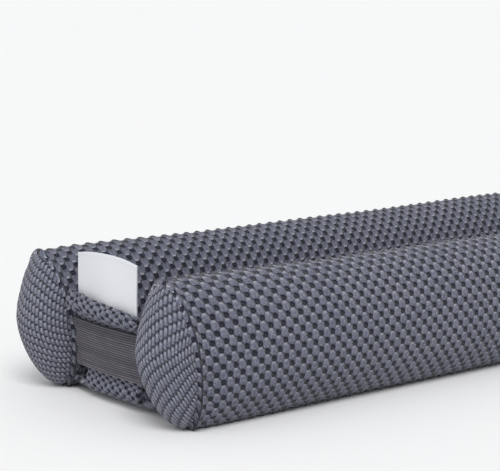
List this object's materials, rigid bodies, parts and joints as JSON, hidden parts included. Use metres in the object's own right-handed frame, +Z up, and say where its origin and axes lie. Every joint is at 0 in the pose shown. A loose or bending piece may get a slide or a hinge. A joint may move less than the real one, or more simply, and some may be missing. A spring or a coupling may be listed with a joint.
{
  "type": "draught excluder",
  "caption": "Draught excluder: stuffed mesh-cloth tubes joined by a strip that runs under a door, with elastic end straps and a blank tag.",
  "frame": {"origin": "on the floor, at the centre of the object's footprint", "axes": "+X along the door the excluder is fitted to, +Y across the door from the front tube to the back tube, +Z up"},
  "size_m": [0.9136, 0.1102, 0.0578],
  "materials": {
    "mesh_cloth": "open raised knit mesh, matt, blue-grey with dark holes",
    "elastic": "ribbed woven elastic, matt, brownish grey",
    "tag_tape": "smooth woven tape, white, blank"
  },
  "bodies": {
    "root": {"tube_front": "mesh_cloth", "tube_back": "mesh_cloth", "cap_front_near": "mesh_cloth", "cap_front_far": "mesh_cloth", "cap_back_near": "mesh_cloth", "cap_back_far": "mesh_cloth", "strip": "mesh_cloth", "strap_near": "elastic", "strap_far": "elastic", "tag": "tag_tape"}
  },
  "joints": []
}
